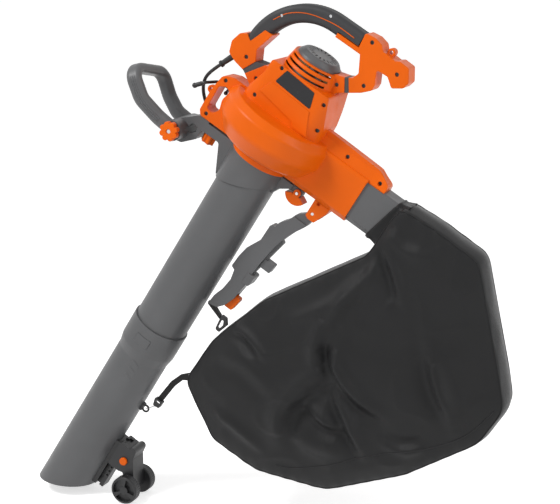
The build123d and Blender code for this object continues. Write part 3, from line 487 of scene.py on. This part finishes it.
def panel(mesh, reach, folds, side):
    """One slack panel of the bag. Gives its outer row."""
    rows = []
    for k in range(RINGS):
        ring = 1 - (k / RINGS) ** RING_POWER
        row = []
        for i in range(AROUND):
            x, z = from_middle(i, SEAM_AT * ring * reach[i])
            row.append(mesh.verts.new(tool(x, side * bag_height(x, z, ring, side, folds), z)))
        rows.append(row)
    crown = side * bag_height(*BAG_MIDDLE, 0, side, folds)
    middle = mesh.verts.new(tool(BAG_MIDDLE[0], crown, BAG_MIDDLE[1]))
    for first, second in zip(rows, rows[1:]):
        bridge(mesh, first, second)
    last = rows[-1]
    for i in range(AROUND):
        mesh.faces.new((last[i], last[(i + 1) % AROUND], middle))
    return rows[0]


def gusset(mesh, near, far, reach):
    """Band between the outer rows of the two panels."""
    rows = [near]
    for k in range(1, GUSSET_STEPS):
        y = BAG_EDGE * (2 * k / GUSSET_STEPS - 1)
        bulge = SEAM_AT + GUSSET_BULGE * math.cos(math.pi * (k / GUSSET_STEPS - 0.5))
        row = []
        for i in range(AROUND):
            wander = noise.noise(Vector((i / GUSSET_WAVE_STEPS, y / GUSSET_WAVE_WIDE, 1)))
            wave = 1 + GUSSET_WAVE * wander
            x, z = from_middle(i, reach[i] * bulge * wave)
            row.append(mesh.verts.new(tool(x, y, z)))
        rows.append(row)
    rows.append(far)
    for first, second in zip(rows, rows[1:]):
        bridge(mesh, first, second)


def bag_shell(reach, folds):
    """Two slack panels and the gusset between them."""
    mesh = bmesh.new()
    near = panel(mesh, reach, folds, -1)
    far = panel(mesh, reach, folds, 1)
    gusset(mesh, near, far, reach)
    return finished(mesh, "bag_cloth", "bag_fabric")


def bridge(mesh, first, second):
    """Closed band of faces between two rows."""
    count = len(first)
    for i in range(count):
        j = (i + 1) % count
        mesh.faces.new((first[i], first[j], second[j], second[i]))


def finished(mesh, name, slot, body="tool"):
    """Turns a bmesh into a piece that rides on a body, with the finish of a slot."""
    bmesh.ops.recalc_face_normals(mesh, faces=mesh.faces)
    data = bpy.data.meshes.new(name)
    mesh.to_mesh(data)
    mesh.free()
    obj = bpy.data.objects.new(name, data)
    bpy.context.scene.collection.objects.link(obj)
    for face in data.polygons:
        face.use_smooth = True
    paint(obj, slot)
    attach(obj, body)
    return obj


PIPING_SIDES = 8
PIPING_R = 1.5
SEAM_CORD_R = 1.1


def piping(name, places, radius, closed, slot="bag_fabric", body="tool"):
    """Thin round line along a surface: the cord in a seam, or a moulded rib."""
    mesh = bmesh.new()
    rings = []
    count = len(places)
    for i, place in enumerate(places):
        before = places[i - 1] if closed or i else place
        after = places[(i + 1) % count] if closed or i < count - 1 else place
        run = (after - before).normalized()
        across = run.cross(Vector((0, 1, 0))).normalized()
        up = across.cross(run)
        ring = []
        for k in range(PIPING_SIDES):
            angle = 2 * math.pi * k / PIPING_SIDES
            offset = across * math.cos(angle) + up * math.sin(angle)
            ring.append(mesh.verts.new(place + offset * radius / 1000))
        rings.append(ring)
    following = rings[1:] + rings[:1] if closed else rings[1:]
    for first, second in zip(rings, following):
        bridge(mesh, first, second)
    if not closed:
        mesh.faces.new(rings[0])
        mesh.faces.new(rings[-1])
    return finished(mesh, name, slot, body)


def edge_places(reach, folds, side):
    """Where a panel is sewn to the gusset."""
    places = []
    for i in range(AROUND):
        x, z = from_middle(i, SEAM_AT * reach[i])
        places.append(tool(x, side * bag_height(x, z, 1, side, folds), z))
    return places


def seam_places(reach, folds, side):
    """Where the bottom piece of a panel is sewn to the rest of it."""
    places = []
    for x, z in along(SEAM):
        out = Vector((x, z)) - Vector(BAG_MIDDLE)
        i = round(math.atan2(out.y, out.x) / (2 * math.pi) * AROUND) % AROUND
        ring = min(0.99, out.length / (SEAM_AT * reach[i]))
        places.append(tool(x, side * bag_height(x, z, ring, side, folds), z))
    return places


DUCT_MIDDLE = 190.0                 # height of the duct's axis, in the tool's frame
SLEEVE_START, SLEEVE_END = 273.5, 308.0
SLEEVE_SLANT = 0.235                # how much farther along the hem lies, per mm of height
SLEEVE_AROUND = 96
SLEEVE_ROUND = 0.45                 # 1 for an ellipse, nearer to 0 for sharper corners
GATHERS, GATHER_HIGH = 11, 0.018
# Rows of the bag's mouth: share of its length, and half its width and height.
SLEEVE = [(0.0, 25.8, 46.8), (0.0, 28.0, 49.0), (0.12, 29.6, 50.6), (0.26, 28.2, 49.2),
          (0.45, 29.5, 50.5), (0.7, 33.0, 52.5), (1.0, 38.0, 55.0)]


def squared(value):
    """Moves a sine or cosine outwards, so that an ellipse becomes a rounded rectangle."""
    return math.copysign(abs(value) ** SLEEVE_ROUND, value)


def sleeve():
    """Mouth of the bag, drawn over the end of the duct, with a rolled hem cut at a slant."""
    mesh = bmesh.new()
    rows = []
    for share, wide, high in SLEEVE:
        row = []
        for i in range(SLEEVE_AROUND):
            angle = 2 * math.pi * i / SLEEVE_AROUND
            gather = 1 + GATHER_HIGH * share * math.sin(GATHERS * angle)
            y = squared(math.cos(angle)) * wide * gather
            z = squared(math.sin(angle)) * high * gather
            start = SLEEVE_START + SLEEVE_SLANT * z
            row.append(mesh.verts.new(tool(start + share * (SLEEVE_END - start), y, DUCT_MIDDLE + z)))
        rows.append(row)
    for first, second in zip(rows, rows[1:]):
        bridge(mesh, first, second)
    return finished(mesh, "bag_sleeve", "bag_fabric")


reach = bag_outline()
folds = [Fold(*fold) for fold in FOLDS]
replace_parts(bag_shell(reach, folds), "bag")
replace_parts(sleeve(), "bag_collar")
for side, where in ((-1, "near"), (1, "far")):
    piping(f"bag_edge_{where}", edge_places(reach, folds, side), PIPING_R, True)
    piping(f"bag_seam_{where}", seam_places(reach, folds, side), SEAM_CORD_R, False)

# ---------------------------------------------------------------- lines on the plastic

GRIP_LINE = [(-116, 388), (-96, 416), (-60, 438), (-6, 450), (40, 450)]
GRIP_LINE_R = 0.9
ARM_MIDDLE = [(-206, 94), (-232, 100), (-262, 114), (-296, 140)]
ARM_RIBS = (-4.5, 0.0, 4.5)         # how far each rib lies from the middle of the arm
ARM_RIB_R = 1.0
RAY_START = -200.0                  # Y on the near side of every part, mm


def on_near_face(name, line, aside=0.0):
    """Line of X, Z points, moved aside, laid on the near side of a CAD part."""
    surface = tree_of(node[name])
    points = along(line)
    places = []
    for i, here in enumerate(points):
        run = (points[min(i + 1, len(points) - 1)] - points[max(i - 1, 0)]).normalized()
        x, z = here.x - aside * run.y, here.y + aside * run.x
        place = surface.ray_cast(tool(x, RAY_START, z), Vector((0, 1, 0)))[0]
        if place:
            places.append(place)
    return places


piping("grip_line", on_near_face("grip_near", GRIP_LINE), GRIP_LINE_R, False, "orange_plastic")
for number, aside in enumerate(ARM_RIBS, 1):
    piping(f"arm_rib_{number}", on_near_face("front_handle", ARM_MIDDLE, aside), ARM_RIB_R, False,
           "grey_plastic", "front_grip")

# ---------------------------------------------------------------- studio

FLOOR_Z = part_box("wheel_near")[0].z - 0.001
FLOOR_SIZE = 30                     # metres
FLOOR_WHITE = 0.95
FLOOR_GLOW = 0.62                   # what the floor adds for the eye alone, so that it looks white
SKY_STRENGTH = 0.42


def looked_at(tree):
    """1 for a ray from the camera or by way of a mirror or glass, and 0 for the light on the object."""
    rays = add(tree, "ShaderNodeLightPath")
    level = rays.outputs["Is Camera Ray"]
    for other in ("Is Glossy Ray", "Is Transmission Ray"):
        most = add(tree, "ShaderNodeMath", operation="MAXIMUM")
        tree.links.new(level, most.inputs[0])
        tree.links.new(rays.outputs[other], most.inputs[1])
        level = most.outputs["Value"]
    return level


def backdrop():
    """White floor that the tool stands on."""
    mesh = bmesh.new()
    bmesh.ops.create_grid(mesh, x_segments=1, y_segments=1, size=FLOOR_SIZE)
    data = bpy.data.meshes.new("floor")
    mesh.to_mesh(data)
    mesh.free()
    obj = bpy.data.objects.new("floor", data)
    obj.location.z = FLOOR_Z
    bpy.context.scene.collection.objects.link(obj)
    material, tree, bsdf = new_material("floor")
    bsdf.inputs["Base Color"].default_value = (FLOOR_WHITE, FLOOR_WHITE, FLOOR_WHITE, 1)
    bsdf.inputs["Emission Color"].default_value = (1, 1, 1, 1)
    tree.links.new(spread(tree, looked_at(tree), 0.0, FLOOR_GLOW), bsdf.inputs["Emission Strength"])
    bsdf.inputs["Roughness"].default_value = 0.9
    bsdf.inputs["Specular IOR Level"].default_value = 0.1
    data.materials.append(material)


def softbox(name, offset, width, height, power):
    """Flat light at an offset from MIDDLE, turned to it."""
    light = bpy.data.lights.new(name, "AREA")
    light.shape = "RECTANGLE"
    light.size = width
    light.size_y = height
    light.energy = power
    obj = bpy.data.objects.new(name, light)
    obj.location = MIDDLE + Vector(offset)
    obj.rotation_euler = (MIDDLE - obj.location).to_track_quat("-Z", "Y").to_euler()
    bpy.context.scene.collection.objects.link(obj)


def world():
    """White to the camera, and a softer even light on the object."""
    sky = bpy.data.worlds.new("studio")
    bpy.context.scene.world = sky
    sky.use_nodes = True
    tree = sky.node_tree
    back = tree.nodes["Background"]
    back.inputs["Color"].default_value = (1, 1, 1, 1)
    tree.links.new(spread(tree, looked_at(tree), SKY_STRENGTH, 1.0), back.inputs["Strength"])


backdrop()
world()
softbox("key", offset=(-1.5, -1.7, 2.4), width=1.1, height=1.1, power=76)
softbox("side", offset=(2.2, -0.8, 0.7), width=0.6, height=2.0, power=18)
bpy.context.scene.view_settings.view_transform = "Standard"
